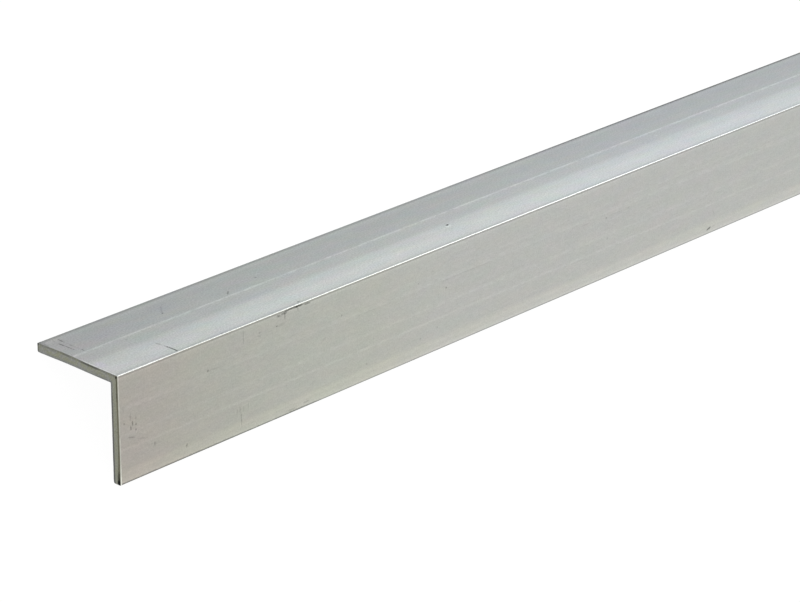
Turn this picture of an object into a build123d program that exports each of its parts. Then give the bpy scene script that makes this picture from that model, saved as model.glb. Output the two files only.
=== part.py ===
from build123d import *
import os

# Equal-leg metal angle section: one extruded length of mill-finish aluminium stock, sawn square at
# both ends.
#
# It lies on a level floor as it would lie unheld, ridge up and both leg tips down, like a low roof.
# +X runs along the length, away from the sawn end that is seen first, and +Z up through the ridge.
# The back leg slopes down towards +Y and carries the die line on its outer face. The front leg slopes
# down towards -Y. The origin is on the floor, below the middle of the ridge.
# Sizes are in millimetres, angles in degrees.

# Driving dimensions of the section
LEG_WIDTH = 50.0  # over the outside of each leg
WALL = 4.0  # thickness of both legs
RIDGE_RADIUS = 0.5  # outer corner, where the legs meet
ROOT_RADIUS = 0.6  # inner corner, where the legs meet
TIP_RADIUS = 0.4  # both corners of each leg's tip

# Raised line that the die leaves along the back leg, as a guide for drilling
LINE_WIDTH = 1.6
LINE_HEIGHT = 0.1
LINE_PAST_MIDDLE = 3.0  # from the middle of the leg's width, towards its tip

# Length and sawn ends
STOCK_LENGTH = 1000.0
DEBURR = 0.4  # bevel that a file leaves along the outer edges of each sawn end

# The right angle between the legs is halved about the vertical
LEG_SLOPE = 45.0

NODE = "angle_section"


def sharp_section():
    """The section before rounding. Its ridge is at the origin, and its legs run along +Y and down."""
    outline = Polyline(
        (0, 0),
        (LEG_WIDTH, 0),
        (LEG_WIDTH, -WALL),
        (WALL, -WALL),
        (WALL, -LEG_WIDTH),
        (0, -LEG_WIDTH),
        close=True,
    )
    return make_face(outline)


def rounded_section():
    """The section with its ridge, its root and the corners of its two tips rounded."""
    corner_radii = {
        (0, 0): RIDGE_RADIUS,
        (WALL, -WALL): ROOT_RADIUS,
        (LEG_WIDTH, 0): TIP_RADIUS,
        (LEG_WIDTH, -WALL): TIP_RADIUS,
        (0, -LEG_WIDTH): TIP_RADIUS,
        (WALL, -LEG_WIDTH): TIP_RADIUS,
    }
    section = sharp_section()
    for (y, z), radius in corner_radii.items():
        corner = section.vertices().sort_by_distance((y, z, 0))[0]
        section = fillet(corner, radius)
    return section


def die_line():
    """Section of the die line: a low arc on the back leg's outer face, with a foot in the wall."""
    middle = LEG_WIDTH / 2 + LINE_PAST_MIDDLE
    left = middle - LINE_WIDTH / 2
    right = middle + LINE_WIDTH / 2
    crown = ThreePointArc((left, 0), (middle, LINE_HEIGHT), (right, 0))
    foot = Polyline((right, 0), (right, -WALL / 2), (left, -WALL / 2), (left, 0))
    return make_face(crown + foot)


def along_x(section, start, end):
    """A section carried along X from start to end."""
    return extrude(Plane.YZ.offset(start) * section, amount=end - start)


def outer_edges(sawn_face):
    """The two edges of a sawn face that meet at the ridge. The others stay as the saw leaves them."""
    ridge = (sawn_face.center().X, 0, 0)
    return sawn_face.edges().sort_by_distance(ridge)[:2]


def bevelled_blank():
    """The sharp-cornered length with a file's bevel along the outer edges of both sawn ends."""
    blank = along_x(sharp_section(), -STOCK_LENGTH / 2, STOCK_LENGTH / 2)
    faces = blank.faces().sort_by(Axis.X)
    return chamfer(outer_edges(faces[0]) + outer_edges(faces[-1]), DEBURR)


def angle_section():
    """The finished length: rounded, bevelled and with its die line, ridge up on the floor."""
    rounded = along_x(rounded_section(), -STOCK_LENGTH / 2, STOCK_LENGTH / 2)
    line_reach = STOCK_LENGTH / 2 - DEBURR
    line = along_x(die_line(), -line_reach, line_reach)
    finished = (rounded & bevelled_blank()) + line
    ridge_up = finished.rotate(Axis.X, -LEG_SLOPE)
    lowest = ridge_up.bounding_box().min.Z
    return Pos(0, 0, -lowest) * ridge_up


os.makedirs("parts", exist_ok=True)
part = angle_section()
part.label = NODE
export_step(part, f"parts/{NODE}.step")
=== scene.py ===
"""A length of mill-finish aluminium angle, dressed: drawn faces, sawn ends and marks of handling.

All sizes are in metres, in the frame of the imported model: +X runs along the length, +Z up through the ridge.
A place on the metal has two coordinates, as if the section were unrolled flat. One is its distance along
the length from the near sawn end. The other is its distance across from the ridge: positive down the back
leg, round its tip and up its inner face to the root, and negative the same way round the front leg.
"""
import logging
import math
from dataclasses import dataclass, field
from enum import Enum
from typing import Any

import bpy
import numpy as np
from mathutils import Matrix, Vector


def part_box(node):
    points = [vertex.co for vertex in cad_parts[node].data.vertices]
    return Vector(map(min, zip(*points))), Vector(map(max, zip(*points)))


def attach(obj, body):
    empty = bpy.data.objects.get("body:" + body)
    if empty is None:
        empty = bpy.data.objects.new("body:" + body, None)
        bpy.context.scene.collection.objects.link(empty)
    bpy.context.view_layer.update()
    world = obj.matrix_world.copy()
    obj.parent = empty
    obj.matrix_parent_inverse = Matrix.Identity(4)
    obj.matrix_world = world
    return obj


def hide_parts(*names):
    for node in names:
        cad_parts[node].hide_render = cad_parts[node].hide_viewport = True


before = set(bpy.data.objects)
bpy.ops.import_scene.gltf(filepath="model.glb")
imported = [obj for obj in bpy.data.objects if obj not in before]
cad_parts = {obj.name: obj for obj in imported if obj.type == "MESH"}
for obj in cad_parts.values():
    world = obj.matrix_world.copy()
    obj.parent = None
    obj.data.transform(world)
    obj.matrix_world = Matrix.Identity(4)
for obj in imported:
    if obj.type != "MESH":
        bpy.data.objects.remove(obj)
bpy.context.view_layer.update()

LOG = logging.getLogger("angle_section")
NODE = "angle_section"
BODY = "root"
PIECE = "dressed_angle"
UV_LAYER = "unrolled"
MM = 0.001
DARKEST = 0.05
SHARP_ANGLE = math.radians(28)

Array = np.ndarray
Pair = tuple[float, float]
Colour = tuple[float, float, float]
Stops = tuple[tuple[float, Colour | float], ...]


def rgba(tone: Colour | float) -> tuple[float, float, float, float]:
    """A colour, or a grey value, as an opaque colour of four numbers."""
    red, green, blue = tone if isinstance(tone, tuple) else (tone, tone, tone)
    return red, green, blue, 1.0


def add_object(name: str, data: bpy.types.ID) -> bpy.types.Object:
    """A new object in the scene, made of mesh, camera or light data."""
    made = bpy.data.objects.new(name, data)
    bpy.context.scene.collection.objects.link(made)
    return made


@dataclass(frozen=True)
class Socket:
    """One output of a shader node in its graph, with arithmetic written as Python expressions."""

    graph: "Graph"
    output: bpy.types.NodeSocket

    def math(self, operation: str, *others: "Socket | float") -> "Socket":
        """The result of a Math node on this value and the others."""
        return self.graph.node("Math", dict(enumerate((self, *others))), {"operation": operation})["Value"]

    def __add__(self, other: "Socket | float") -> "Socket":
        """This value plus another."""
        return self.math("ADD", other)

    __radd__ = __add__

    def __sub__(self, other: "Socket | float") -> "Socket":
        """This value less another."""
        return self.math("SUBTRACT", other)

    def __rsub__(self, other: float) -> "Socket":
        """A number less this value."""
        return (self * -1.0) + other

    def __mul__(self, other: "Socket | float") -> "Socket":
        """This value times another."""
        return self.math("MULTIPLY", other)

    def __truediv__(self, other: "Socket | float") -> "Socket":
        """This value divided by another."""
        return self.math("DIVIDE", other)

    def __abs__(self) -> "Socket":
        """This value without its sign."""
        return self.math("ABSOLUTE")

    def __gt__(self, other: "Socket | float") -> "Socket":
        """1 where this value is more than another, else 0."""
        return self.math("GREATER_THAN", other)

    def times(self, factor: "Socket | float", plus: "Socket | float") -> "Socket":
        """This value times a factor, plus another, in one node."""
        return self.math("MULTIPLY_ADD", factor, plus)

    def rise(self, start: float, end: float) -> "Socket":
        """A smooth step.

        Args:
            start: where the step is still 0.
            end: where it reaches 1. It may be less than start, for a step down.

        Returns:
            The step's height, from 0 to 1.
        """
        low, high, first, last = (start, end, 0.0, 1.0) if start < end else (end, start, 1.0, 0.0)
        settings = {"interpolation_type": "SMOOTHSTEP", "clamp": False}
        inputs = {"Value": self, "From Min": low, "From Max": high, "To Min": first, "To Max": last}
        return self.graph.node("MapRange", inputs, settings)["Result"]

    def band(self, middle: float, half: float, edge: float) -> "Socket":
        """1 in a band that reaches half to both sides of the middle, else 0, with edges as wide as edge."""
        return abs(self - middle).rise(half + edge / 2, half - edge / 2)

    def ramp(self, stops: Stops, reach: float) -> "Socket":
        """Colours read off a ramp by this value.

        Args:
            stops: each stop's value, in millimetres and rising, and its colour.
            reach: the value at the ramp's end.

        Returns:
            The colour.
        """
        made = self.graph.node("ValToRGB", {"Fac": self / reach})
        elements = made.node.color_ramp.elements
        while len(elements) < len(stops):
            elements.new(1.0)
        for element, (value, tone) in zip(elements, stops):
            element.position = value * MM / reach
            element.color = rgba(tone)
        return made["Color"]


@dataclass(frozen=True)
class Outputs:
    """The outputs of one node, by name, each as a Socket."""

    graph: "Graph"
    node: bpy.types.Node

    def __getitem__(self, name: str) -> Socket:
        """The output of that name."""
        return Socket(self.graph, self.node.outputs[name])


class Graph:
    """A node tree under construction, of a material or of the world."""

    def __init__(self, tree: bpy.types.NodeTree) -> None:
        """Takes the tree to fill and empties it."""
        self.tree = tree
        tree.nodes.clear()

    @classmethod
    def of_material(cls, name: str) -> tuple[bpy.types.Material, "Graph"]:
        """A new material of that name, and its graph."""
        made = bpy.data.materials.new(name)
        made.use_nodes = True
        return made, cls(made.node_tree)

    def node(
        self,
        kind: str,
        inputs: dict[str | int, Any] | None = None,
        settings: dict[str, Any] | None = None,
    ) -> Outputs:
        """Adds any node.

        Args:
            kind: Blender's name for the node's type, without ShaderNode in front.
            inputs: a value or a Socket for each input, by name or number.
            settings: the node's own settings, set before its inputs.

        Returns:
            The node's outputs.
        """
        made = self.tree.nodes.new("ShaderNode" + kind)
        for name, value in (settings or {}).items():
            setattr(made, name, value)
        for name, value in (inputs or {}).items():
            if isinstance(value, Socket):
                self.tree.links.new(value.output, made.inputs[name])
            else:
                made.inputs[name].default_value = value
        return Outputs(self, made)

    def vector(self, operation: str, *operands: Any) -> Socket:
        """The result of a Vector Math node, whose operands are Sockets and vectors."""
        return self.node("VectorMath", dict(enumerate(operands)), {"operation": operation})["Vector"]

    def scaled(self, colour: Socket, factor: Socket) -> Socket:
        """A colour times a number."""
        return self.node("VectorMath", {"Vector": colour, "Scale": factor}, {"operation": "SCALE"})["Vector"]

    def noise(self, place: Socket, grain: Pair, detail: float = 2.0, turn: float = 0.0) -> Outputs:
        """Adds cloudy noise with grains of a given size.

        Args:
            place: the coordinates that it is drawn on.
            grain: the size of one cloud, along and across, in millimetres.
            detail: how many finer layers it has.
            turn: how far the clouds are turned, in radians.

        Returns:
            The Noise node's outputs, around a half.
        """
        size = (grain[0] * MM, grain[1] * MM, 1.0)
        inputs = {"Vector": place, "Rotation": (0.0, 0.0, turn), "Scale": size}
        turned = self.node("Mapping", inputs, {"vector_type": "TEXTURE"})["Vector"]
        return self.node("TexNoise", {"Vector": turned, "Scale": 1.0, "Detail": detail})

    def mix(self, factor: Any, first: Any, second: Any, blend: str = "MIX") -> Socket:
        """Mixes two colours.

        Args:
            factor: how much of the second colour, as a Socket or a number.
            first: the first colour, as a Socket or four numbers.
            second: the second colour.
            blend: the Mix node's blend type.

        Returns:
            The mixed colour.
        """
        made = self.node("Mix", settings={"data_type": "RGBA", "blend_type": blend}).node
        values = {"Factor_Float": factor, "A_Color": first, "B_Color": second}
        for socket in made.inputs:
            value = values.get(socket.identifier)
            if isinstance(value, Socket):
                self.tree.links.new(value.output, socket)
            elif value is not None:
                socket.default_value = value
        return Socket(self, next(o for o in made.outputs if o.identifier == "Result_Color"))

    def unrolled(self) -> tuple[Socket, Socket, Socket]:
        """The place on the unrolled piece, and its two coordinates."""
        place = self.node("UVMap", settings={"uv_map": UV_LAYER})["UV"]
        parts = self.node("SeparateXYZ", {"Vector": place})
        return place, parts["X"], parts["Y"]

    def metal(self, colour: Socket, rough: "Socket | float", height: Socket, bump: Pair) -> None:
        """Ends a material as bare metal.

        Args:
            colour: its colour.
            rough: its roughness.
            height: the height that its bumps follow.
            bump: their strength and their depth.
        """
        strength, depth = bump
        normal = self.node("Bump", {"Strength": strength, "Distance": depth, "Height": height})["Normal"]
        inputs = {"Base Color": colour, "Metallic": 1.0, "Roughness": rough, "Normal": normal}
        self.node("OutputMaterial", {"Surface": self.node("BsdfPrincipled", inputs)["BSDF"]})


@dataclass(frozen=True)
class Mark:
    """A scratch, smudge or speck: a soft ellipse. Its sizes are in millimetres and its turn in degrees."""

    middle: Pair
    long: float
    wide: float
    turn: float
    tone: float

    def mask(self, along: Socket, across: Socket) -> Socket:
        """1 at the mark's heart and 0 outside it.

        The distance from the middle is measured along the mark and across it, each over its half size. The
        mask is a smooth step of the sum of both squares, which is 1 on the ellipse.

        Args:
            along: distance from the near end.
            across: distance across from the ridge.

        Returns:
            The mask.
        """
        turn = math.radians(self.turn)
        long, wide = self.long * MM, self.wide * MM
        middle = Vector(self.middle) * MM
        onward, aside = Vector((math.cos(turn), math.sin(turn))), Vector((-math.sin(turn), math.cos(turn)))
        lengthwise = along.times(onward.x / long, across.times(onward.y / long, -middle.dot(onward) / long))
        widthwise = along.times(aside.x / wide, across.times(aside.y / wide, -middle.dot(aside) / wide))
        return lengthwise.times(lengthwise, widthwise * widthwise).rise(1.5, 0.2)


def marked(along: Socket, across: Socket, marks: tuple[Mark, ...]) -> Socket:
    """The grey factor of many marks together: 1 plus what each mark adds to it.

    Args:
        along: distance from the near end.
        across: distance across from the ridge.
        marks: the marks.

    Returns:
        The factor, at least DARKEST.
    """
    total: Socket | float = 1.0
    for mark in marks:
        total = mark.mask(along, across).times(mark.tone - 1, total)
    return total.math("MAXIMUM", DARKEST)


class Leg(Enum):
    """One of the two legs, with the sign of its distances across."""

    BACK = 1
    FRONT = -1

    def mark(self, along: float, reach: float, long: float, wide: float, turn: float, tone: float) -> Mark:
        """A mark on the leg's outer face.

        Args:
            along: distance from the near end in millimetres.
            reach: distance from the ridge in millimetres.
            long: half its length.
            wide: half its width.
            turn: from the length towards the tip, in degrees.
            tone: what it multiplies the metal's colour by.

        Returns:
            The mark.
        """
        return Mark((along, self.value * reach), long, wide, self.value * turn, tone)

    def marks(self, *rows: tuple[float, ...]) -> tuple[Mark, ...]:
        """Many marks on the leg's outer face, each given by the numbers that mark takes."""
        return tuple(self.mark(*row) for row in rows)


@dataclass(frozen=True)
class DieLine:
    """A low bead that the die leaves along the length, brighter than the face by a painted highlight on its
    crown, with gaps in its shine.
    """

    across: float
    width: float
    height: float
    shine: float
    gaps: float

    def relief(self, across: Array) -> Array:
        """Height of the bead: a parabola over its width, and 0 beside it."""
        share = (across - self.across) / (self.width / 2)
        return self.height * np.clip(1 - share**2, 0, None)


@dataclass(frozen=True)
class Dent:
    """A small round knock in a face."""

    along: float
    across: float
    radius: float
    depth: float

    def relief(self, along: Array, across: Array) -> Array:
        """Height of the dent, at most 0: a bell-shaped hollow."""
        away = np.hypot(along - self.along, across - self.across) / self.radius
        return -self.depth * np.exp(-(away**2))


@dataclass(frozen=True)
class AngleSection:
    """The equal-leg section: sharp ridge at the origin, back leg's outer face along +p at q = 0."""

    leg: float = 50.0 * MM
    wall: float = 4.0 * MM
    ridge_radius: float = 0.5 * MM
    root_radius: float = 0.6 * MM
    tip_radius: float = 0.4 * MM

    @property
    def root(self) -> float:
        """Distance across from the ridge, round the tip, to the root."""
        return 2 * self.leg

    def outline(self, across: Array) -> tuple[Array, Array]:
        """The section's outline with its rounded corners.

        Each point is the centre of a rounding plus its radius times the outward normal. Between two corners,
        centre and radius run evenly from one to the next and the normal stands still, which gives a straight
        face. At a corner the centre stands still and the normal turns, which gives an arc. The root's radius
        counts as negative, because it is hollow. The front leg mirrors the back one about the bisector.

        Args:
            across: distances from the ridge, of any shape, from minus root to plus root.

        Returns:
            The points and the unit normals, each with a last axis of p and q.
        """
        leg, wall = self.leg, self.wall
        ridge, root, tip = self.ridge_radius, self.root_radius, self.tip_radius
        corners = np.array([
            # distance across, centre p, centre q, radius, normal's angle in degrees
            [0, ridge, -ridge, ridge, 135],
            [ridge, ridge, -ridge, ridge, 90],
            [leg - tip, leg - tip, -tip, tip, 90],
            [leg + tip, leg - tip, -tip, tip, 0],
            [leg + wall - tip, leg - tip, tip - wall, tip, 0],
            [leg + wall + tip, leg - tip, tip - wall, tip, -90],
            [2 * leg - root, wall + root, -wall - root, -root, -90],
            [2 * leg, wall + root, -wall - root, -root, -45],
        ])
        reach = np.abs(across)
        p, q, radius, angle = (np.interp(reach, corners[:, 0], corners[:, k]) for k in range(1, 5))
        turn = np.radians(angle)
        normal = np.stack([np.cos(turn), np.sin(turn)], -1)
        point = np.stack([p, q], -1) + radius[..., None] * normal
        front = (across < 0)[..., None]
        return np.where(front, -point[..., ::-1], point), np.where(front, -normal[..., ::-1], normal)


def waves(place: Array, longest: float, count: int, seed: int) -> Array:
    """A smooth uneven line: a sum of cosines, each of half the wavelength of the last, with random phases.

    Args:
        place: distances along the line.
        longest: the longest wavelength.
        count: how many cosines.
        seed: picks the phases.

    Returns:
        The line's height, about -1 to 1.
    """
    phases = np.random.default_rng(seed).uniform(0, 2 * np.pi, count)
    step = np.arange(count)
    parts = np.cos(2 * np.pi * place[..., None] * 2.0**step / longest + phases) * 0.7**step
    return parts.sum(-1) / (0.7**step).sum()


def clustered(start: float, end: float, step: float, about: list[float], reach: float, fine: float) -> Array:
    """Samples of a stretch, even and with finer ones about some places.

    Args:
        start: the stretch's start.
        end: its end.
        step: the even spacing, at most.
        about: the places that need finer samples.
        reach: how far the finer samples go on both sides.
        fine: their spacing.

    Returns:
        The rising positions, with both ends.
    """
    even = np.linspace(start, end, 1 + math.ceil((end - start) / step))
    near = [np.arange(c - reach, c + reach + fine / 2, fine) for c in about]
    every = np.concatenate([even, *near])
    every = np.sort(every[(every > start) & (every < end)])
    kept = every[np.diff(every, prepend=start) > fine / 2]
    kept = kept[end - kept > fine / 2]
    return np.concatenate([[start], kept, [end]])


@dataclass
class AngleStock:
    """The whole length of angle as one closed mesh: the section carried along X between two sawn faces."""

    section: AngleSection = field(default_factory=AngleSection)
    lines: tuple[DieLine, ...] = (
        DieLine(28.0 * MM, 1.6 * MM, 0.10 * MM, 0.27, 0.8),
        DieLine(-11.8 * MM, 1.4 * MM, 0.02 * MM, 0.035, 1.0),
        DieLine(-14.9 * MM, 1.4 * MM, 0.02 * MM, 0.035, 1.0),
        DieLine(-16.0 * MM, 1.0 * MM, 0.03 * MM, 0.065, 0.9),
        DieLine(-27.6 * MM, 1.5 * MM, 0.02 * MM, 0.060, 0.9),
        DieLine(-34.3 * MM, 1.2 * MM, 0.03 * MM, 0.080, 0.8),
    )
    dents: tuple[Dent, ...] = (
        Dent(217.4 * MM, 16.3 * MM, 0.55 * MM, 0.14 * MM),
        Dent(391.4 * MM, -47.1 * MM, 0.6 * MM, 0.05 * MM),
        Dent(37.8 * MM, -44.4 * MM, 0.5 * MM, 0.06 * MM),
    )
    bevel: float = 0.08 * MM
    uneven: float = 0.04 * MM
    burr: float = 0.33 * MM
    burr_reach: float = 0.9 * MM
    burr_fade: float = 1.0 * MM
    burr_places: tuple[Pair, ...] = ((38.0 * MM, 17.0 * MM), (-50.0 * MM, 25.0 * MM))
    edge_seeds: tuple[int, int] = (11, 12)
    lean: float = 0.15 * MM
    wander: float = 0.60 * MM
    wander_place: Pair = (33.0 * MM, 11.0 * MM)
    wander_reach: float = 8.0 * MM
    face_step: float = 1.6 * MM
    length_step: float = 5.0 * MM
    fine_step: float = 0.27 * MM
    fine_across: float = 0.8 * MM
    fine_along: float = 1.6 * MM
    wall_steps: int = 5
    blade: Pair = (110.0 * MM, 90.0 * MM)
    saw_depth: float = 0.03 * MM
    saw_pitch: float = 1.1 * MM

    def __post_init__(self) -> None:
        """Takes the length and the ridge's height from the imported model."""
        low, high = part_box(NODE)
        self.box = np.array(low), np.array(high)
        self.start = low.x
        self.length = high.x - low.x
        self.ridge_height = high.z + self.section.ridge_radius * (math.sqrt(2) - 1)

    def outer_samples(self) -> Array:
        """Distances across the outer faces, from the front tip's corner to the back tip's."""
        s = self.section
        close = 0.12 * MM
        marks = [abs(line.across) for line in self.lines] + [abs(dent.across) for dent in self.dents]
        arc = np.linspace(0, s.ridge_radius, 7)
        start, end = s.ridge_radius + close, s.leg - s.tip_radius - close
        face = clustered(start, end, self.face_step, marks, self.fine_across, self.fine_step)
        tip = np.linspace(s.leg - s.tip_radius, s.leg, 4)
        half = np.concatenate([arc, face, tip])
        return np.concatenate([-half[:0:-1], half])

    def tip_samples(self) -> Array:
        """Distances across a tip from its outer corner to its inner one, close together at both roundings."""
        s = self.section
        rounding = np.linspace(0, s.tip_radius, 3)
        flat = np.linspace(s.tip_radius, s.wall - s.tip_radius, self.wall_steps)
        return np.concatenate([rounding[:-1], flat, s.wall - rounding[-2::-1]])

    def loop(self) -> tuple[Array, int, int]:
        """Distances across, once round the section.

        The loop starts at the front tip's outer corner and goes over the ridge, round the back tip, along the
        inner faces and round the front tip. Inner samples answer the outer ones, so the sawn faces are grids.

        Returns:
            The distances, the number on the outer faces and the number across a tip, corners included.
        """
        s = self.section
        outer = self.outer_samples()
        half = outer[len(outer) // 2:]
        inner_half = s.root - (half / s.leg) * (s.leg - s.wall)
        inner = np.concatenate([inner_half[::-1], -inner_half[1:]])
        tip = s.leg + self.tip_samples()
        return np.concatenate([outer, tip[1:-1], inner, -tip[-2:0:-1]]), len(outer), len(tip)

    def stations(self) -> Array:
        """Distances along the length at which the section is repeated, close together at the sawn ends."""
        end = np.array([0, 0.05, 0.1, 0.15, 0.2, 0.3, 0.45, 0.65, 0.9, 1.2, 1.6, 2.3, 3.2, 4.4, 6.0]) * MM
        marks = [dent.along for dent in self.dents]
        start = 8 * MM
        middle = clustered(
            start, self.length - start, self.length_step, marks, self.fine_along, self.fine_step)
        return np.concatenate([end, middle, self.length - end[::-1]])

    def inset(self, along: Array, across: Array) -> Array:
        """How far the surface lies inside the plain section near a sawn end.

        On the outer faces the file's bevel cuts in by its width less the distance to the end. It leaves the
        tips alone. On the inner faces the saw's burr stands out instead, and fades at the corners.

        Args:
            along: distances from the near end.
            across: distances across from the ridge.

        Returns:
            The depth at each place, negative for the burr.
        """
        s = self.section
        near = along < self.length / 2
        to_end = np.where(near, along, self.length - along)
        uneven = np.where(near, *(waves(across, 40 * MM, 6, seed) for seed in self.edge_seeds))
        reach = np.abs(across)
        width = (self.bevel + self.uneven * uneven) * np.clip((s.leg - reach) / (2 * s.tip_radius), 0, 1)
        cut = np.clip(width - to_end, 0, None)
        from_corners = np.minimum(reach - s.leg - s.wall, s.root - reach)
        share = np.clip(from_corners / self.burr_fade, 0, 1)
        share = share * share * (3 - 2 * share)
        fall = np.clip(1 - to_end / self.burr_reach, 0, None) ** 1.5
        return cut - share * fall * self.burr_height(across) * (1 + 0.3 * uneven)

    def burr_height(self, across: Array) -> Array:
        """Height of the burr at the end itself.

        It is highest about some places, as a bell over the distance from each, and low between them.

        Args:
            across: distances across from the ridge. Those of an inner face answer the outer face behind it.

        Returns:
            The height at each.
        """
        s = self.section
        reach = np.abs(across)
        behind = np.clip((reach - s.leg - s.wall) * s.leg / (s.leg - s.wall), 0, None)
        outer = np.sign(across) * (np.minimum(reach, s.leg) - behind)
        bells = [np.exp(-(((outer - middle) / width) ** 2)) for middle, width in self.burr_places]
        return self.burr * (0.15 + 0.85 * np.max(bells, axis=0))

    def cut_line(self, flat: Array) -> Array:
        """How far the saw's cut lies inside the end of the length.

        The blade leaned, so the cut runs in evenly from the front tip up to the back leg. It also wandered
        in the back leg, by a bell over the distance p from the ridge.

        Args:
            flat: section points, with a last axis of p and q.

        Returns:
            The depth of the cut at each.
        """
        middle, width = self.wander_place
        bell = np.exp(-(((flat[..., 0] - middle) / width) ** 2))
        return self.lean * (1 + flat[..., 1] / self.section.leg) + self.wander * bell

    def relief(self, along: Array, across: Array) -> Array:
        """Height of the real surface over the plain section: the die's lines and the dents."""
        lines = sum(line.relief(across) for line in self.lines)
        return lines + sum(dent.relief(along, across) for dent in self.dents)

    def flat_points(self, along: Array, across: Array) -> Array:
        """Section points of the surface: the outline's, moved along their normals by relief less inset.

        Args:
            along: distances from the near end.
            across: distances across from the ridge.

        Returns:
            Points with a last axis of p and q.
        """
        flat, normal = self.section.outline(across)
        to_end = np.minimum(along, self.length - along)
        fade = np.clip(to_end / self.bevel, 0, 1)
        return flat + (fade * self.relief(along, across) - self.inset(along, across))[..., None] * normal

    def placed(self, along: Array, flat: Array) -> Array:
        """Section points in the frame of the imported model, inside its box.

        The section is turned by half a right angle, ridge up, and set at the ridge's height: y is p plus q,
        and z is q less p, both over the root of two. Towards a sawn end, x gives way to the saw's cut line.

        Args:
            along: distances from the near end.
            flat: section points, with a last axis of p and q.

        Returns:
            Points with a last axis of x, y and z.
        """
        p, q = flat[..., 0], flat[..., 1]
        y = (p + q) / math.sqrt(2)
        z = (q - p) / math.sqrt(2) + self.ridge_height
        to_end = np.minimum(along, self.length - along)
        inward = np.where(along < self.length / 2, 1, -1) * self.cut_line(flat)
        x = self.start + along + inward * np.clip(1 - to_end / self.wander_reach, 0, None)
        return np.clip(np.stack([x, y, z], -1), *self.box)

    def saw_marks(self, flat: Array) -> Array:
        """Depth of the saw's marks: shallow ripples on arcs about the blade's centre, of uneven depth.

        Args:
            flat: section points on the sawn face.

        Returns:
            The depth of the face at each.
        """
        away = np.hypot(*np.moveaxis(flat - np.array(self.blade), -1, 0))
        ripple = 0.5 + 0.5 * np.cos(2 * np.pi * away / self.saw_pitch)
        return self.saw_depth * ripple * (0.6 + 0.4 * waves(away, 13 * MM, 4, 5))

    @staticmethod
    def edge_numbers(outer: int, tip: int, around: int) -> tuple[Array, Array, Array, Array]:
        """Which points of the loop lie on the four edges of a sawn face.

        Args:
            outer: how many points are on the outer faces.
            tip: how many are across a tip.
            around: how many the whole loop has.

        Returns:
            The numbers along the outer faces, the back tip, the inner faces and the front tip.
        """
        inner_start = outer + tip - 2
        inner_end = inner_start + outer
        return (
            np.arange(outer),
            np.arange(outer - 1, inner_start + 1),
            np.arange(inner_start, inner_end)[::-1],
            (np.arange(inner_end - 1, around + 1) % around)[::-1],
        )

    def end_grid(self, ring: Array, edges: tuple[Array, Array, Array, Array]) -> Array:
        """The sawn face as a grid of section points between its four edges.

        Each point blends the outer and inner edge across the wall, and the two tips along the legs, less the
        blend of the four corners.

        Args:
            ring: the outline's points at the sawn end, once round.
            edges: which of them lie on the four edges.

        Returns:
            The grid of section points.
        """
        top, back, bottom, front = (ring[numbers] for numbers in edges)
        s = np.linspace(0, 1, len(top))[:, None, None]
        t = (self.tip_samples() / self.section.wall)[None, :, None]
        blends = (1 - t) * top[:, None] + t * bottom[:, None] + (1 - s) * front[None] + s * back[None]
        corners = (1 - s) * ((1 - t) * top[0] + t * bottom[0]) + s * ((1 - t) * top[-1] + t * bottom[-1])
        return blends - corners

    @staticmethod
    def cells(grid: Array) -> Array:
        """The values at the four corners of each cell of a grid, once round, one row a cell."""
        corners = (grid[:-1, :-1], grid[:-1, 1:], grid[1:, 1:], grid[1:, :-1])
        return np.stack(corners, 2).reshape(-1, 4, *grid.shape[2:])

    def build(self) -> bpy.types.Object:
        """Makes the mesh: the tube of the length, and a grid on each sawn face that shares the tube's edge.

        The unrolled places go into a UV map. On a sawn face they are the distance across and the depth below
        the outer faces.

        Returns:
            The piece. Its three materials are for the back leg, the front leg and the sawn faces.
        """
        across, outer, tip = self.loop()
        stations = self.stations()
        rows, around = len(stations), len(across)
        along_grid, across_grid = np.meshgrid(stations, across, indexing="ij")
        tube = self.placed(along_grid, self.flat_points(along_grid, across_grid))
        numbers = np.arange(rows * around).reshape(rows, around)
        closed = np.concatenate([numbers, numbers[:, :1]], 1)
        faces = [self.cells(closed)[:, ::-1]]
        places = np.stack([along_grid, across_grid], -1)
        closed_places = np.concatenate([places, places[:, :1]], 1)
        tube_uvs = self.cells(closed_places)[:, ::-1]
        behind_root = (tube_uvs[..., 1].max(1) - tube_uvs[..., 1].min(1)) > self.section.leg
        tube_uvs[behind_root, :, 1] = -np.abs(tube_uvs[behind_root, :, 1])
        uvs = [tube_uvs]
        vertices = [tube.reshape(-1, 3)]
        edges = self.edge_numbers(outer, tip, around)
        base = rows * around
        for row, inward, order in ((0, 1, 1), (rows - 1, -1, -1)):
            along = stations[row]
            grid = self.end_grid(self.flat_points(np.full(around, along), across), edges)
            solid = self.placed(along + inward * self.saw_marks(grid), grid)
            here = np.empty((outer, tip), int)
            here[1:-1, 1:-1] = base + np.arange((outer - 2) * (tip - 2)).reshape(outer - 2, tip - 2)
            for side, edge in zip((np.s_[:, 0], np.s_[-1], np.s_[:, -1], np.s_[0]), edges):
                here[side] = row * around + edge
                vertices[0][here[side]] = solid[side]
            vertices.append(solid[1:-1, 1:-1].reshape(-1, 3))
            base += len(vertices[-1])
            face_places = np.stack(np.meshgrid(across[:outer], self.tip_samples(), indexing="ij"), -1)
            faces.append(self.cells(here)[:, ::order])
            uvs.append(self.cells(face_places)[:, ::order])
        on_front = (tube_uvs[..., 1].mean(1) < 0).astype(int)
        sawn = np.full(sum(len(part) for part in faces[1:]), 2)
        materials = np.concatenate([on_front, sawn])
        return self.mesh_object(*(np.concatenate(part) for part in (vertices, faces, uvs)), materials)

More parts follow.
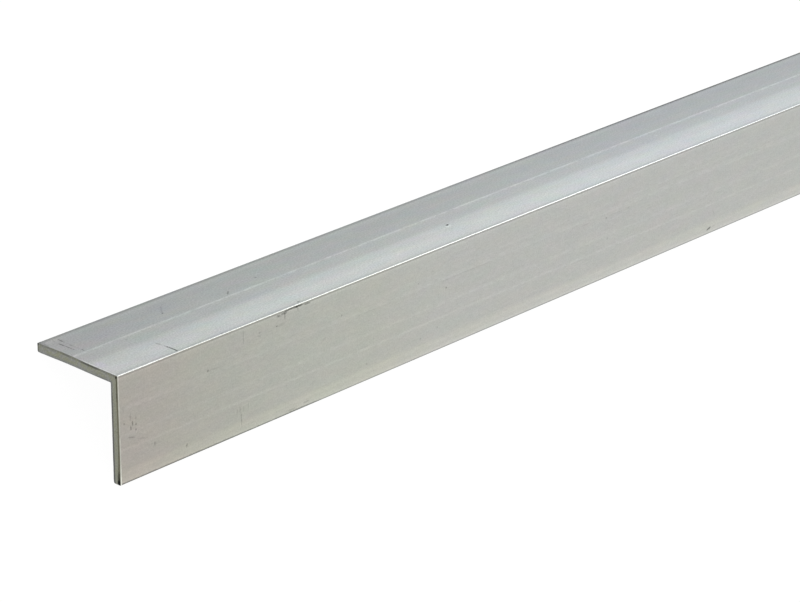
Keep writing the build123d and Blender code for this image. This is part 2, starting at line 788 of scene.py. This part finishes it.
    @staticmethod
    def mesh_object(vertices: Array, faces: Array, uvs: Array, materials: Array) -> bpy.types.Object:
        """Puts arrays into a mesh object.

        Args:
            vertices: the points.
            faces: four vertex numbers a face.
            uvs: the unrolled place of each face's corners.
            materials: each face's material number.

        Returns:
            The object, linked to the scene.
        """
        mesh = bpy.data.meshes.new(PIECE)
        mesh.vertices.add(len(vertices))
        mesh.vertices.foreach_set("co", vertices.astype(np.float32).ravel())
        mesh.loops.add(faces.size)
        mesh.loops.foreach_set("vertex_index", faces.astype(np.int32).ravel())
        mesh.polygons.add(len(faces))
        mesh.polygons.foreach_set("loop_start", np.arange(0, faces.size, 4, dtype=np.int32))
        mesh.polygons.foreach_set("material_index", materials.astype(np.int32))
        mesh.update(calc_edges=True)
        layer = mesh.uv_layers.new(name=UV_LAYER)
        layer.uv.foreach_set("vector", uvs.astype(np.float32).ravel())
        mesh.shade_smooth()
        mesh.set_sharp_from_angle(angle=SHARP_ANGLE)
        return add_object(PIECE, mesh)


BACK_MARKS = Leg.BACK.marks(
    # a knock across the leg near its ridge, in three strokes
    (34.9, 5.0, 4.3, 0.44, 92, 0.42),
    (34.9, 2.0, 1.2, 0.5, 92, 0.7),
    (34.3, 12.2, 1.6, 0.45, 96, 0.72),
    # two broken rubs across the leg near the sawn end
    (5.6, 41.0, 2.2, 0.46, 89, 0.5),
    (5.7, 36.0, 3.6, 0.4, 88, 0.66),
    (5.8, 46.2, 0.9, 0.4, 88, 0.78),
    (8.3, 44.5, 2.4, 0.42, 83, 0.64),
    (8.0, 37.3, 1.0, 0.42, 87, 0.76),
    (8.4, 30.5, 1.0, 0.42, 87, 0.7),
    (8.3, 37.0, 9.0, 0.3, 89, 0.9),
    # darker at the tip's corner by the sawn end
    (0.6, 46.6, 3.2, 0.9, 90, 0.74),
    (0.4, 49.6, 1.0, 0.8, 0, 0.55),
    # scratches and specks along the outer half
    (60.1, 38.5, 4.2, 0.45, 53, 0.86),
    (57.8, 35.0, 0.8, 0.45, 40, 0.6),
    (92.8, 31.2, 1.8, 0.45, 42, 0.6),
    (113.1, 35.0, 0.7, 0.6, 0, 0.68),
    (116.1, 37.5, 1.7, 0.4, 40, 1.06),
    (176.2, 31.0, 0.45, 0.4, 0, 1.12),
    # a stronger painted highlight on the ridge at the sawn end
    (10.0, 0.2, 18.0, 0.7, 0, 1.14),
    # specks along the inner half
    (60.1, 0.9, 0.8, 0.35, 0, 0.7),
    (107.0, 1.9, 1.1, 0.5, 10, 0.6),
    (110.1, 5.6, 0.8, 0.4, 30, 1.08),
    (47.1, 11.0, 0.6, 0.5, 0, 1.08),
    (47.9, 12.0, 0.5, 0.35, 0, 0.84),
    (28.1, 25.5, 0.8, 0.5, 0, 0.88),
    # a dent, with painted shade in its hollow and a painted highlight on its rim, and the scratches that lead
    # to it
    (217.3, 15.2, 1.7, 1.2, 25, 1.13),
    (217.4, 16.4, 1.0, 0.55, 20, -0.2),
    (215.9, 14.9, 1.2, 0.6, 25, 1.14),
    (212.4, 14.0, 5.0, 0.22, 27, 1.07),
    (213.1, 13.0, 4.2, 0.22, 27, 0.92),
    (215.3, 11.7, 3.9, 0.22, 41, 0.9),
    # pale scratches farther along
    (176.6, 8.7, 1.9, 0.35, 43, 1.11),
    (200.8, 2.7, 1.7, 0.35, 40, 1.08),
    (170.6, 26.8, 0.9, 0.35, 30, 1.08),
    (212.1, 27.3, 0.9, 0.35, 30, 1.1),
    (222.0, 28.2, 1.0, 0.35, 30, 1.1),
    (311.6, 7.0, 0.9, 0.3, 30, 1.09),
    (376.0, 23.0, 0.9, 0.3, 30, 1.12),
    (411.6, 27.6, 1.0, 0.35, 20, 1.12),
    # darker along the outer edge farther along
    (510.0, 49.5, 250.0, 0.9, 0, 0.52),
)

# faint violet tints on the back leg
BACK_TINTS = (
    (Leg.BACK.mark(3.2, 13.5, 2.4, 3.4, 0, 1.0), (1.05, 1.01, 1.10)),
    (Leg.BACK.mark(27.6, 36.5, 15.0, 6.0, 0, 1.0), (1.0, 0.975, 1.020)),
)

# the painted ridge highlight near the sawn end kept white, without the front leg's warm tint, and a cooler
# patch below it
FRONT_TINTS = (
    (Leg.FRONT.mark(10.0, 0.1, 18.0, 0.5, 0, 1.0), (1.0, 1.06, 1.09)),
    (Leg.FRONT.mark(7.0, 4.5, 6.0, 4.0, 0, 1.0), (0.975, 1.0, 0.99)),
)

FRONT_MARKS = Leg.FRONT.marks(
    # a stronger painted highlight on the ridge at the sawn end
    (10.0, 0.1, 18.0, 0.5, 0, 1.3),
    # rough specks and faint strokes near the sawn end
    (6.6, 20.8, 0.4, 1.8, 0, 0.82),
    (7.7, 23.7, 0.5, 1.1, 0, 0.58),
    (6.7, 25.5, 0.45, 1.1, 0, 0.64),
    (9.6, 22.0, 0.35, 1.5, 0, 0.84),
    (9.6, 24.8, 0.45, 0.6, 0, 0.64),
    (9.5, 27.3, 0.45, 0.6, 0, 0.68),
    (9.6, 28.5, 0.5, 0.5, 0, 1.12),
    (3.0, 22.8, 0.45, 0.4, 0, 0.66),
    (2.7, 16.0, 0.35, 1.3, 0, 0.88),
    (7.0, 30.0, 2.2, 0.35, 17, 0.78),
    (12.9, 32.4, 3.3, 0.3, 17, 0.88),
    (13.0, 29.8, 2.6, 0.3, 17, 1.06),
    (19.7, 37.0, 0.45, 0.9, 0, 0.78),
    (19.9, 38.0, 1.3, 1.3, 0, 0.95),
    # painted shade in the dent near the bottom edge
    (37.8, 44.4, 0.5, 0.85, 0, 0.62),
    (50.9, 13.9, 0.6, 0.5, 0, 0.62),
    (55.1, 14.3, 3.4, 0.28, 3, 0.88),
    (71.9, 5.3, 3.6, 0.3, 88, 0.8),
    (81.6, 6.2, 0.7, 0.4, 0, 0.82),
    (81.2, 7.6, 0.9, 0.3, 20, 0.86),
    # dark smudges in a row under the ridge and the strokes beside them
    (98.2, 0.9, 1.8, 0.34, -7, 0.56),
    (96.4, 1.65, 1.8, 0.55, 0, 0.62),
    (93.0, 1.9, 1.1, 0.45, 20, 0.66),
    (101.9, 0.8, 2.8, 0.38, 0, 0.38),
    (105.6, 0.95, 2.2, 0.42, 0, 0.42),
    (110.2, 1.3, 2.0, 0.4, 0, 0.56),
    (104.7, 2.2, 1.0, 0.34, 85, 0.74),
    (91.8, 6.4, 0.5, 0.45, 0, 0.6),
    (94.6, 6.4, 2.4, 0.7, -8, 0.88),
    (94.1, 2.1, 2.6, 0.8, 0, 0.9),
    (96.8, 3.2, 1.6, 0.3, 86, 0.66),
    # a line across the lower part of the leg, with short strokes above it, some of them pale
    (66.4, 38.6, 1.0, 0.3, 90, 1.08),
    (68.2, 41.4, 0.7, 0.3, 90, 1.08),
    (74.6, 38.2, 1.2, 0.32, 90, 1.08),
    (69.8, 43.0, 3.3, 0.24, 90, 0.7),
    (67.4, 38.6, 1.4, 0.24, 90, 0.84),
    (69.1, 38.2, 1.8, 0.26, 90, 0.74),
    (71.2, 38.4, 1.2, 0.24, 90, 0.84),
    (74.2, 37.8, 1.3, 0.24, 90, 0.88),
    # specks and short scratches along the middle
    (131.6, 13.6, 0.5, 0.5, 0, 0.8),
    (120.3, 21.6, 1.4, 0.35, -30, 0.9),
    (105.1, 28.0, 0.9, 0.35, 60, 1.06),
    (108.6, 17.0, 1.0, 0.4, 20, 0.92),
    (151.6, 19.3, 0.5, 0.45, 0, 1.08),
    (180.6, 13.4, 0.5, 0.45, 0, 0.8),
    (210.6, 16.9, 17.5, 0.24, 0, 0.91),
    (148.6, 16.9, 7.0, 0.24, 0, 0.93),
    (199.1, 20.9, 0.5, 0.55, 0, 0.66),
    (193.3, 38.6, 0.5, 0.5, 0, 0.78),
    (182.1, 40.7, 0.6, 0.5, 0, 0.84),
    (147.1, 42.0, 0.8, 0.5, 30, 0.82),
    (236.1, 15.4, 1.6, 0.6, 0, 1.05),
    # streaks, and a deep knock towards the far part with painted shade in its dent
    (311.6, 18.9, 0.6, 0.45, 0, 0.72),
    (295.6, 18.0, 3.2, 0.26, 0, 0.9),
    (318.6, 18.3, 5.0, 0.26, 0, 0.91),
    (327.6, 18.2, 1.2, 0.35, 0, 0.87),
    (388.1, 12.2, 1.4, 0.4, 10, 1.07),
    (391.6, 21.0, 1.8, 0.35, 25, 1.06),
    (312.6, 29.6, 0.8, 0.6, 0, 0.88),
    (391.1, 47.2, 1.8, 0.55, -17, 0.46),
    (395.0, 46.9, 1.2, 0.45, 0, 0.84),
    (394.6, 39.7, 1.9, 0.3, 65, 0.88),
    # darker along the bottom edge, with two darker patches just above it
    (40.0, 49.6, 62.0, 0.55, 0, 0.72),
    (104.0, 49.5, 14.0, 0.5, 0, 0.74),
    (99.8, 48.5, 3.2, 0.5, 0, 0.84),
    (109.0, 47.6, 2.0, 0.5, 0, 0.84),
)

END_MARKS = (
    # darkest at the front tip, and darker a little way up along the outer edge
    Mark((-49.1, 0.65), 1.5, 1.05, 0, -0.90),
    Mark((-46.5, 0.75), 3.0, 1.00, 0, 0.72),
    # the dark back tip, darkest at its outer corner
    Mark((49.6, 2.2), 0.5, 2.6, 0, 0.50),
    Mark((49.8, 0.25), 0.7, 0.8, 0, 0.20),
    # the corner below the ridge
    Mark((-0.20, 0.45), 0.75, 0.60, 0, 0.05),
)


@dataclass(frozen=True)
class MillFinish:
    """One leg's drawn faces: bare aluminium with tones across the leg, the die's streaks and marks of
    handling, and painted highlights and shade among them.

    Its stops are in millimetres: tones by distance from the ridge, drift by distance from the near end.
    """

    stock: AngleStock
    leg: Leg
    tones: Stops
    drift: Stops
    marks: tuple[Mark, ...]
    tints: tuple[tuple[Mark, Colour], ...]
    streak: float = 0.08
    slant: float = 0.07
    cloud: float = 0.07
    mottle: float = 0.07
    grain: float = 0.33
    glint: float = 0.60
    hue: float = 0.07
    jitter: float = 0.9
    inside_tone: float = 0.50
    brightest: float = 1.07
    roughness: float = 0.38
    bump: Pair = (0.25, 0.03 * MM)
    # the back leg's pale bevel colour is a painted highlight, and the inner faces' dark burr colour is painted
    # shade
    back_bevel_highlight: Colour = (0.70, 0.68, 0.69)
    back_fringe: Colour = (0.21, 0.20, 0.19)
    front_fringe: Colour = (0.24, 0.225, 0.19)
    inner_burr_shade: Colour = (0.14, 0.135, 0.14)

    def material(self) -> bpy.types.Material:
        """Makes the material, which reads the piece's unrolled places.

        Returns:
            The material.
        """
        made, graph = Graph.of_material(f"mill_finish_{self.leg.name.lower()}")
        place, along, across = graph.unrolled()
        section = self.stock.section

        shift = graph.noise(place, (self.jitter, self.jitter), 1.0)["Color"]
        wide = self.jitter * MM
        shift = graph.vector("MULTIPLY_ADD", shift, (wide, wide, 0.0), (-wide / 2, -wide / 2, 0.0))
        uneven_place = graph.vector("ADD", place, shift)
        uneven = graph.node("SeparateXYZ", {"Vector": uneven_place})
        # the marks, which include painted highlights and shade, vary in strength in patches
        mark_strength = graph.noise(place, (1.8, 1.2))["Fac"].rise(0.26, 0.50)
        marks = (marked(uneven["X"], uneven["Y"], self.marks) - 1.0).times(mark_strength.times(0.55, 0.55), 1.0)

        reach = abs(across)
        is_inside = reach > section.leg + section.tip_radius
        tone = graph.mix(is_inside, reach.ramp(self.tones, section.leg), rgba(self.inside_tone))
        colour = graph.mix(1.0, tone, along.ramp(self.drift, self.stock.length), "MULTIPLY")
        for patch, tint in self.tints:
            tinted = graph.mix(1.0, colour, rgba(tint), "MULTIPLY")
            colour = graph.mix(patch.mask(uneven["X"], uneven["Y"]), colour, tinted)

        streaks = graph.noise(place, (90, 0.9), 3.0)["Fac"]
        slanted = graph.noise(place, (14, 0.6), turn=math.radians(5.0))["Fac"]
        clouds = graph.noise(place, (14, 6), 3.0)
        mottle = graph.noise(place, (3.2, 1.8))["Fac"]
        grain = graph.noise(place, (0.8, 0.7), 1.0)["Fac"]
        strengths = (self.streak, self.slant, self.cloud, self.mottle, self.grain)
        factor: Socket | float = 1.0
        for noise, strength in zip((streaks, slanted, clouds["Fac"], mottle, grain), strengths):
            factor = factor + (noise - 0.5) * strength
        broken = graph.noise(place, (5, 3))["Fac"].rise(0.30, 0.62)
        # painted highlight along the crown of each die line on this leg, broken by gaps
        for line in self.stock.lines:
            if line.across * self.leg.value > 0:
                crown = uneven["Y"].band(line.across, line.width * 0.45, line.width * 0.5)
                factor = factor + crown * line.shine * broken.times(line.gaps, 1.0 - line.gaps)
        # the ridge's band, where the tones paint a highlight; that painted highlight is made uneven along its
        # length and kept out of the hue
        ridge = across.band(0.0, 0.5 * MM, 0.4 * MM)
        glints = graph.noise(place, (2.2, 1.0))["Fac"]
        factor = factor + ridge * (glints - 0.52) * self.glint
        hue = graph.vector("MULTIPLY_ADD", clouds["Color"], (self.hue,) * 3, (1 - self.hue / 2,) * 3)
        colour = graph.mix(ridge, graph.vector("MULTIPLY", colour, hue), colour)
        colour = graph.scaled(colour, factor * marks * self.brightest)
        colour = self.sawn_edges(graph, colour, along, across, uneven_place)

        rough = self.roughness + (streaks - 0.5) * 0.12 - ridge * 0.12 + (1.0 - marks) * 0.25
        graph.metal(colour, rough, streaks * 0.5 + slanted * 0.3 + grain * 0.35, self.bump)
        return made

    def sawn_edges(
        self, graph: Graph, colour: Socket, along: Socket, across: Socket, place: Socket
    ) -> Socket:
        """Colours the edges at both sawn ends: outside a painted highlight on the filed bevel and a dark
        fringe, inside painted shade on the burr.

        Args:
            graph: the material's node tree.
            colour: the metal's colour so far.
            along: distance from the near end.
            across: distance across from the ridge.
            place: the unrolled place with uneven coordinates.

        Returns:
            The colour with its edges.
        """
        section = self.stock.section
        to_end = along.math("MINIMUM", self.stock.length - along)
        patches = graph.noise(place, (2.5, 2.2), 3.0)["Fac"]
        if self.leg is Leg.BACK:
            # painted highlight on the filed bevel, in patches, strongest across the half of the leg by the
            # ridge
            pale = to_end.rise(1.0 * MM, 0.5 * MM) * patches.rise(0.38, 0.54)
            pale = pale * (across.band(11 * MM, 11 * MM, 5 * MM) * 0.65 + 0.15)
            lip = graph.mix(pale, colour, rgba(self.back_bevel_highlight))
            edge = graph.mix(to_end.rise(0.30 * MM, 0.12 * MM), lip, rgba(self.back_fringe))
        else:
            # a cream painted highlight on the filed bevel, brighter towards the bottom and dimmer about the
            # middle of the leg
            low = across.rise(-38 * MM, -50 * MM)
            tone = 0.62 + low * 0.26 + (patches - 0.5) * 0.46
            tone = tone - across.band(-24 * MM, 4.5 * MM, 5 * MM) * 0.10
            bevel_highlight_colour = graph.node("CombineXYZ", {"X": tone, "Y": tone * 0.985, "Z": tone * 0.92})["Vector"]
            lip = graph.mix(to_end.rise(0.9 * MM, 0.5 * MM), colour, bevel_highlight_colour)
            fringe = to_end.rise(0.26 * MM, 0.10 * MM) * (1.0 - low * 0.5)
            edge = graph.mix(fringe, lip, rgba(self.front_fringe))
        # painted shade on the burr along the inner faces
        inner_burr_shade = to_end.rise(1.1 * MM, 0.6 * MM) * (abs(across) > section.leg + section.wall)
        return graph.mix(inner_burr_shade, edge, rgba(self.inner_burr_shade))


# Tones across the back leg: a painted highlight on the ridge's rounding with a darker line beside it, a tone
# that falls towards the far edge, and darker again at the outer edge.
BACK_TONES: Stops = (
    (0.0, 0.82), (0.28, 0.75), (0.52, 0.57), (0.8, 0.44), (1.1, 0.44), (1.7, 0.532), (2.8, 0.572),
    (6.5, 0.583), (9.5, 0.578), (12.0, 0.553), (16.0, 0.533), (17.6, 0.508), (18.8, 0.474), (20.0, 0.450),
    (25.0, 0.437), (27.0, 0.438), (29.0, 0.409), (35.0, 0.398), (40.0, 0.388), (44.0, 0.385), (46.6, 0.412),
    (47.6, 0.394), (48.3, 0.305), (49.3, 0.280), (50.0, 0.210),
)
# Tones across the front leg: a painted highlight on the ridge's rounding with a darker line below it, an even
# face, brighter towards the bottom and darker at the edge itself.
FRONT_TONES: Stops = (
    (0.0, 0.79), (0.15, 0.68), (0.38, 0.46), (0.7, 0.38), (1.0, 0.46), (1.4, 0.595), (1.9, 0.564),
    (2.6, 0.543), (3.4, 0.536), (10.0, 0.531), (20.0, 0.528), (42.5, (0.535, 0.533, 0.530)),
    (43.6, (0.550, 0.545, 0.534)), (44.5, (0.575, 0.571, 0.551)), (45.4, (0.598, 0.593, 0.574)),
    (46.8, (0.584, 0.579, 0.562)), (48.2, (0.605, 0.600, 0.585)), (49.0, (0.650, 0.645, 0.632)),
    (49.35, (0.550, 0.547, 0.537)), (49.5, 0.390), (49.75, 0.240), (50.0, 0.190),
)
# Drift along the length: brighter from the near end onwards, a painted brightening that stands for the lamp's
# light falling off along the piece, dimmer again towards the far end, with a tint that changes along it.
BACK_DRIFT: Stops = (
    (0, (0.850, 0.822, 0.832)), (20, (0.842, 0.826, 0.834)), (45, (0.846, 0.844, 0.846)),
    (112, (0.897, 0.895, 0.893)), (200, (0.935, 0.930, 0.930)), (300, (0.963, 0.960, 0.981)),
    (380, (0.958, 0.955, 1.0)), (700, (0.94, 0.94, 0.95)), (1000, (0.88, 0.88, 0.88)),
)
FRONT_DRIFT: Stops = (
    (0, (0.812, 0.750, 0.716)), (20, (0.818, 0.763, 0.728)), (40, (0.828, 0.800, 0.754)),
    (60, (0.838, 0.826, 0.780)), (112, (0.885, 0.888, 0.842)), (150, (0.908, 0.905, 0.856)),
    (195, (0.939, 0.930, 0.925)), (300, (0.952, 0.944, 0.948)), (380, (0.953, 0.946, 0.952)),
    (700, (0.94, 0.94, 0.94)), (1000, (0.88, 0.88, 0.87)),
)


@dataclass(frozen=True)
class SawnFinish:
    """The sawn end faces: grey and olive, darker than the metal by painted shade, scored by the saw's teeth,
    with a painted shadow of the burr below the edges.
    """

    # these colours sit far below the legs' metal: painted shade, for the dark that the sawn faces reflect
    grey: Colour = (0.262, 0.252, 0.232)
    olive: Colour = (0.258, 0.250, 0.196)
    brown: Colour = (0.275, 0.252, 0.180)
    inner_grey: Colour = (0.262, 0.256, 0.268)
    roughness: float = 0.5
    bump: Pair = (0.4, 0.05 * MM)

    def material(self) -> bpy.types.Material:
        """Makes the material, which reads the distance across and the depth in the wall.

        Returns:
            The material.
        """
        made, graph = Graph.of_material("sawn_end")
        place, across, depth = graph.unrolled()
        scores = graph.noise(place, (7.0, 0.35))["Fac"]
        blotches = graph.noise(place, (0.8, 0.7))["Fac"]
        patches = graph.noise(place, (3.0, 1.8))["Fac"]
        factor = 1.0 + (scores - 0.5) * 0.35 + (blotches - 0.5) * 0.85
        on_front = across.rise(4.0 * MM, -2.0 * MM)
        low = across.rise(-32 * MM, -46 * MM)
        foot = across.rise(-42 * MM, -48 * MM)
        # a painted shadow of the burr: a dark band just below the outer edges, darker in places across the
        # back leg, under the ridge and at the front tip
        uneven_depth = depth + (patches - 0.5) * (0.6 * MM)
        below_edge = (uneven_depth - on_front * (0.02 * MM)) * (1.0 - low * 0.40)
        line = below_edge.band(0.36 * MM, 0.48 * MM, 0.40 * MM)
        by_ridge = across.band(17 * MM, 5.5 * MM, 5 * MM) + across.band(32 * MM, 2.5 * MM, 3 * MM) * 0.4
        under_ridge = across.band(-6 * MM, 5 * MM, 5 * MM)
        dark = 0.22 + by_ridge * 0.38 + on_front * (0.24 + under_ridge * 0.20 + foot * 0.28)
        factor = factor * (1.0 - line * dark)
        back_edge = depth.rise(2.6 * MM, 3.4 * MM)
        inner_dark = 0.12 + across.rise(16 * MM, 6 * MM) * 0.12 + across.rise(-4 * MM, -8 * MM) * 0.32
        factor = factor * (1.0 - back_edge * inner_dark)
        marks = marked(across, depth, END_MARKS)
        warm = patches.rise(0.42, 0.58) * (1.0 - on_front * 0.4)
        warm = warm + on_front * depth.rise(4.4 * MM, 2.4 * MM) * 0.6
        colour = graph.mix(warm, rgba(self.grey), rgba(self.olive))
        # the painted burr shadow is brown on the front leg's sawn face
        colour = graph.mix(line * on_front, colour, rgba(self.brown))
        colour = graph.mix(back_edge * 0.6, colour, rgba(self.inner_grey))
        graph.metal(graph.scaled(colour, factor * marks), self.roughness, scores, self.bump)
        return made


@dataclass
class Studio:
    """A white floor and backdrop, a soft lamp and the camera of the photograph."""

    stock: AngleStock
    view_down: float = math.radians(22.904)
    view_turn: float = math.radians(43.520)
    view_distance: float = 1.4485
    aim_along: float = 168.70 * MM
    aim_down: float = 18.10 * MM
    lens: float = 145.83
    back_light: Colour = (0.921, 0.975, 0.960)
    front_light: Colour = (0.859, 0.870, 0.818)
    room_light: Colour = (0.75, 0.75, 0.75)
    lamp_towards: tuple[float, float, float] = (0.668, 0.174, 0.724)
    lamp_aim: tuple[float, float, float] = (-0.25, 0.0, 0.02)
    lamp_distance: float = 1.5
    lamp_size: float = 0.7
    lamp_power: float = 3.0
    lamp_colour: Colour = (1.0, 0.99, 0.97)
    floor_reach: float = 6.0

    def camera(self) -> None:
        """Places the camera.

        It looks at a point of the front leg's outer face. Seen with the back leg level, it looks down by
        view_down and off the length by view_turn, upright. All of that is then turned with the section.
        """
        to_row = Matrix.Rotation(-math.pi / 4, 3, "X")
        forward = Vector((
            math.cos(self.view_down) * math.cos(self.view_turn),
            math.cos(self.view_down) * math.sin(self.view_turn),
            -math.sin(self.view_down),
        ))
        right = forward.cross(Vector((0, 0, 1))).normalized()
        up = right.cross(forward)
        ridge = Vector((self.stock.start, 0, self.stock.ridge_height))
        aim = ridge + to_row @ Vector((self.aim_along, 0, -self.aim_down))
        axes = Matrix((to_row @ right, to_row @ up, to_row @ -forward)).transposed()
        data = bpy.data.cameras.new("camera")
        data.sensor_width = 36.0
        data.lens = self.lens
        data.clip_start = 0.01
        data.clip_end = 50.0
        holder = add_object("camera", data)
        holder.matrix_world = Matrix.Translation(aim - to_row @ forward * self.view_distance) @ axes.to_4x4()
        bpy.context.scene.camera = holder

    @staticmethod
    def seen(path: Outputs) -> Socket:
        """1 for rays of the camera, of gloss and of glass, which see the white backdrop."""
        total = path["Is Camera Ray"] + path["Is Glossy Ray"] + path["Is Transmission Ray"]
        return total.math("MINIMUM", 1.0)

    def world(self) -> None:
        """Fills the world: white to the camera, pale to gloss, warmer and dimmer in front of the object."""
        world = bpy.data.worlds.new("studio")
        bpy.context.scene.world = world
        world.use_nodes = True
        world.cycles.sampling_method = "NONE"
        graph = Graph(world.node_tree)
        path = graph.node("LightPath")
        direction = graph.node("TexCoord")["Object"]
        sideways = graph.node("SeparateXYZ", {"Vector": direction})["Y"]
        gloss = graph.mix(sideways.rise(0.25, -0.55), rgba(self.back_light), rgba(self.front_light))
        shown = graph.mix(path["Is Camera Ray"], gloss, rgba(1.0))
        colour = graph.mix(self.seen(path), rgba(self.room_light), shown)
        light = graph.node("Background", {"Color": colour, "Strength": 1.0})
        graph.node("OutputWorld", {"Surface": light["Background"]})

    def floor(self) -> None:
        """Lays the floor: a wide plane, white to the camera and pale to gloss, which keeps a faint shadow."""
        half = self.floor_reach
        mesh = bpy.data.meshes.new("floor")
        corners = [(-half, -half, 0), (half, -half, 0), (half, half, 0), (-half, half, 0)]
        mesh.from_pydata(corners, [], [(0, 1, 2, 3)])
        floor = add_object("floor", mesh)
        made, graph = Graph.of_material("white_floor")
        made.cycles.emission_sampling = "NONE"
        path = graph.node("LightPath")
        plain = graph.node("BsdfDiffuse", {"Color": rgba(0.8)})
        faint = graph.node("BsdfDiffuse", {"Color": rgba(0.10)})
        glow_colour = graph.mix(path["Is Camera Ray"], rgba(self.back_light), rgba(0.95))
        glow = graph.node("Emission", {"Color": glow_colour, "Strength": 1.0})
        white = graph.node("AddShader", {0: faint["BSDF"], 1: glow["Emission"]})
        both = graph.node("MixShader", {0: self.seen(path), 1: plain["BSDF"], 2: white["Shader"]})
        graph.node("OutputMaterial", {"Surface": both["Shader"]})
        mesh.materials.append(made)

    def lamp(self) -> None:
        """Hangs the square lamp, which faces the middle of the view."""
        data = bpy.data.lights.new("key", "AREA")
        data.shape = "SQUARE"
        data.size = self.lamp_size
        data.energy = self.lamp_power
        data.color = self.lamp_colour
        back = Vector(self.lamp_towards).normalized()
        middle = Matrix.Translation(Vector(self.lamp_aim) + back * self.lamp_distance)
        turned = back.to_track_quat("Z", "Y").to_matrix().to_4x4()
        add_object("key", data).matrix_world = middle @ turned

    def build(self) -> None:
        """Sets the whole studio up."""
        self.camera()
        self.world()
        self.floor()
        self.lamp()
        bpy.context.scene.view_settings.view_transform = "Standard"


def main() -> None:
    """Builds the piece and the studio, and reports them."""
    logging.basicConfig(level=logging.INFO, format="%(name)s: %(message)s")
    stock = AngleStock()
    piece = stock.build()
    finishes = (
        MillFinish(stock, Leg.BACK, BACK_TONES, BACK_DRIFT, BACK_MARKS, BACK_TINTS, grain=0.68, hue=0.16),
        MillFinish(stock, Leg.FRONT, FRONT_TONES, FRONT_DRIFT, FRONT_MARKS, FRONT_TINTS, mottle=0.15),
        SawnFinish(),
    )
    for finish in finishes:
        piece.data.materials.append(finish.material())
    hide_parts(NODE)
    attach(piece, BODY)
    LOG.info("%s: %d vertices, %d faces", piece.name, len(piece.data.vertices), len(piece.data.polygons))
    Studio(stock).build()
    LOG.info("studio: camera, floor and lamp")


if __name__ == "__main__":
    main()
